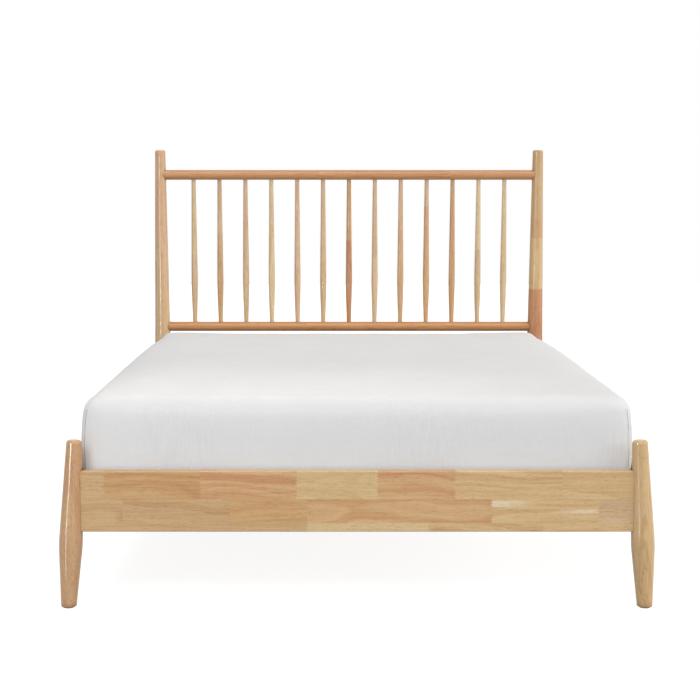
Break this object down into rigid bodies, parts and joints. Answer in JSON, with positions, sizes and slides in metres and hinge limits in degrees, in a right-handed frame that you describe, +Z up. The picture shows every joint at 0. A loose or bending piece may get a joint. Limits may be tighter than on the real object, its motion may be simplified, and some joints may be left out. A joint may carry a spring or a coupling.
{
  "type": "platform bed",
  "caption": "Platform bed with a spindle headboard between tapered turned posts, splayed turned legs, flat rails, a slatted base on a centre beam and a lift-off mattress.",
  "frame": {"origin": "centre of the bed's outline, on the floor", "axes": "+X to the right seen from the foot of the bed, +Y from the foot to the headboard, +Z up"},
  "size_m": [1.6494, 2.1478, 1.314],
  "materials": {
    "turned_wood": "clear semi-gloss lacquer on turned rubberwood",
    "round_rail_wood": "clear semi-gloss lacquer on turned rubberwood",
    "spindle_wood": "clear semi-gloss lacquer on turned rubberwood",
    "board_wood": "clear semi-gloss lacquer on finger-jointed rubberwood staves",
    "base_wood": "plain sanded softwood",
    "dowel_wood": "fluted beech",
    "bracket_steel": "black coated sheet steel",
    "fastener_steel": "zinc plated steel",
    "glide_plastic": "dark brown moulded glide",
    "leveller_plastic": "black moulded pad on a plated stud",
    "mattress_cover": "plain white woven cover"
  },
  "bodies": {
    "bed_frame": {"headboard_post_left": "turned_wood", "headboard_post_right": "turned_wood", "footboard_leg_left": "turned_wood", "footboard_leg_right": "turned_wood", "headboard_top_rail": "round_rail_wood", "headboard_lower_rail": "round_rail_wood", "spindle_01": "spindle_wood", "spindle_02": "spindle_wood", "spindle_03": "spindle_wood", "spindle_04": "spindle_wood", "spindle_05": "spindle_wood", "spindle_06": "spindle_wood", "spindle_07": "spindle_wood", "spindle_08": "spindle_wood", "spindle_09": "spindle_wood", "spindle_10": "spindle_wood", "spindle_11": "spindle_wood", "spindle_12": "spindle_wood", "spindle_13": "spindle_wood", "footboard_rail": "board_wood", "headboard_cross_rail": "board_wood", "side_rail_left": "board_wood", "side_rail_right": "board_wood", "slat_ledger_left": "base_wood", "slat_ledger_right": "base_wood", "centre_beam": "base_wood", "centre_leg": "base_wood", "slat_01": "base_wood", "slat_02": "base_wood", "slat_03": "base_wood", "slat_04": "base_wood", "slat_05": "base_wood", "slat_06": "base_wood", "slat_07": "base_wood", "slat_08": "base_wood", "slat_09": "base_wood", "slat_10": "base_wood", "slat_11": "base_wood", "slat_12": "base_wood", "slat_13": "base_wood", "rail_dowels": "dowel_wood", "corner_braces": "bracket_steel", "beam_hanger_foot": "bracket_steel", "beam_hanger_head": "bracket_steel", "corner_bolts": "fastener_steel", "corner_nuts": "fastener_steel", "bracket_screws": "fastener_steel", "ledger_screws": "fastener_steel", "slat_screws": "fastener_steel", "centre_leg_bolt": "fastener_steel", "threaded_insert": "fastener_steel", "foot_glides": "glide_plastic"},
    "mattress_body": {"mattress": "mattress_cover"},
    "levelling_foot_body": {"levelling_foot": "leveller_plastic"}
  },
  "joints": [
    {"name": "mattress_lift", "type": "slide", "parent": "bed_frame", "child": "mattress_body", "axis": [0, 0, 1], "range_m": [0, 0.35]},
    {"name": "foot_level", "type": "slide", "parent": "bed_frame", "child": "levelling_foot_body", "axis": [0, 0, 1], "range_m": [-0.01, 0.01]}
  ]
}
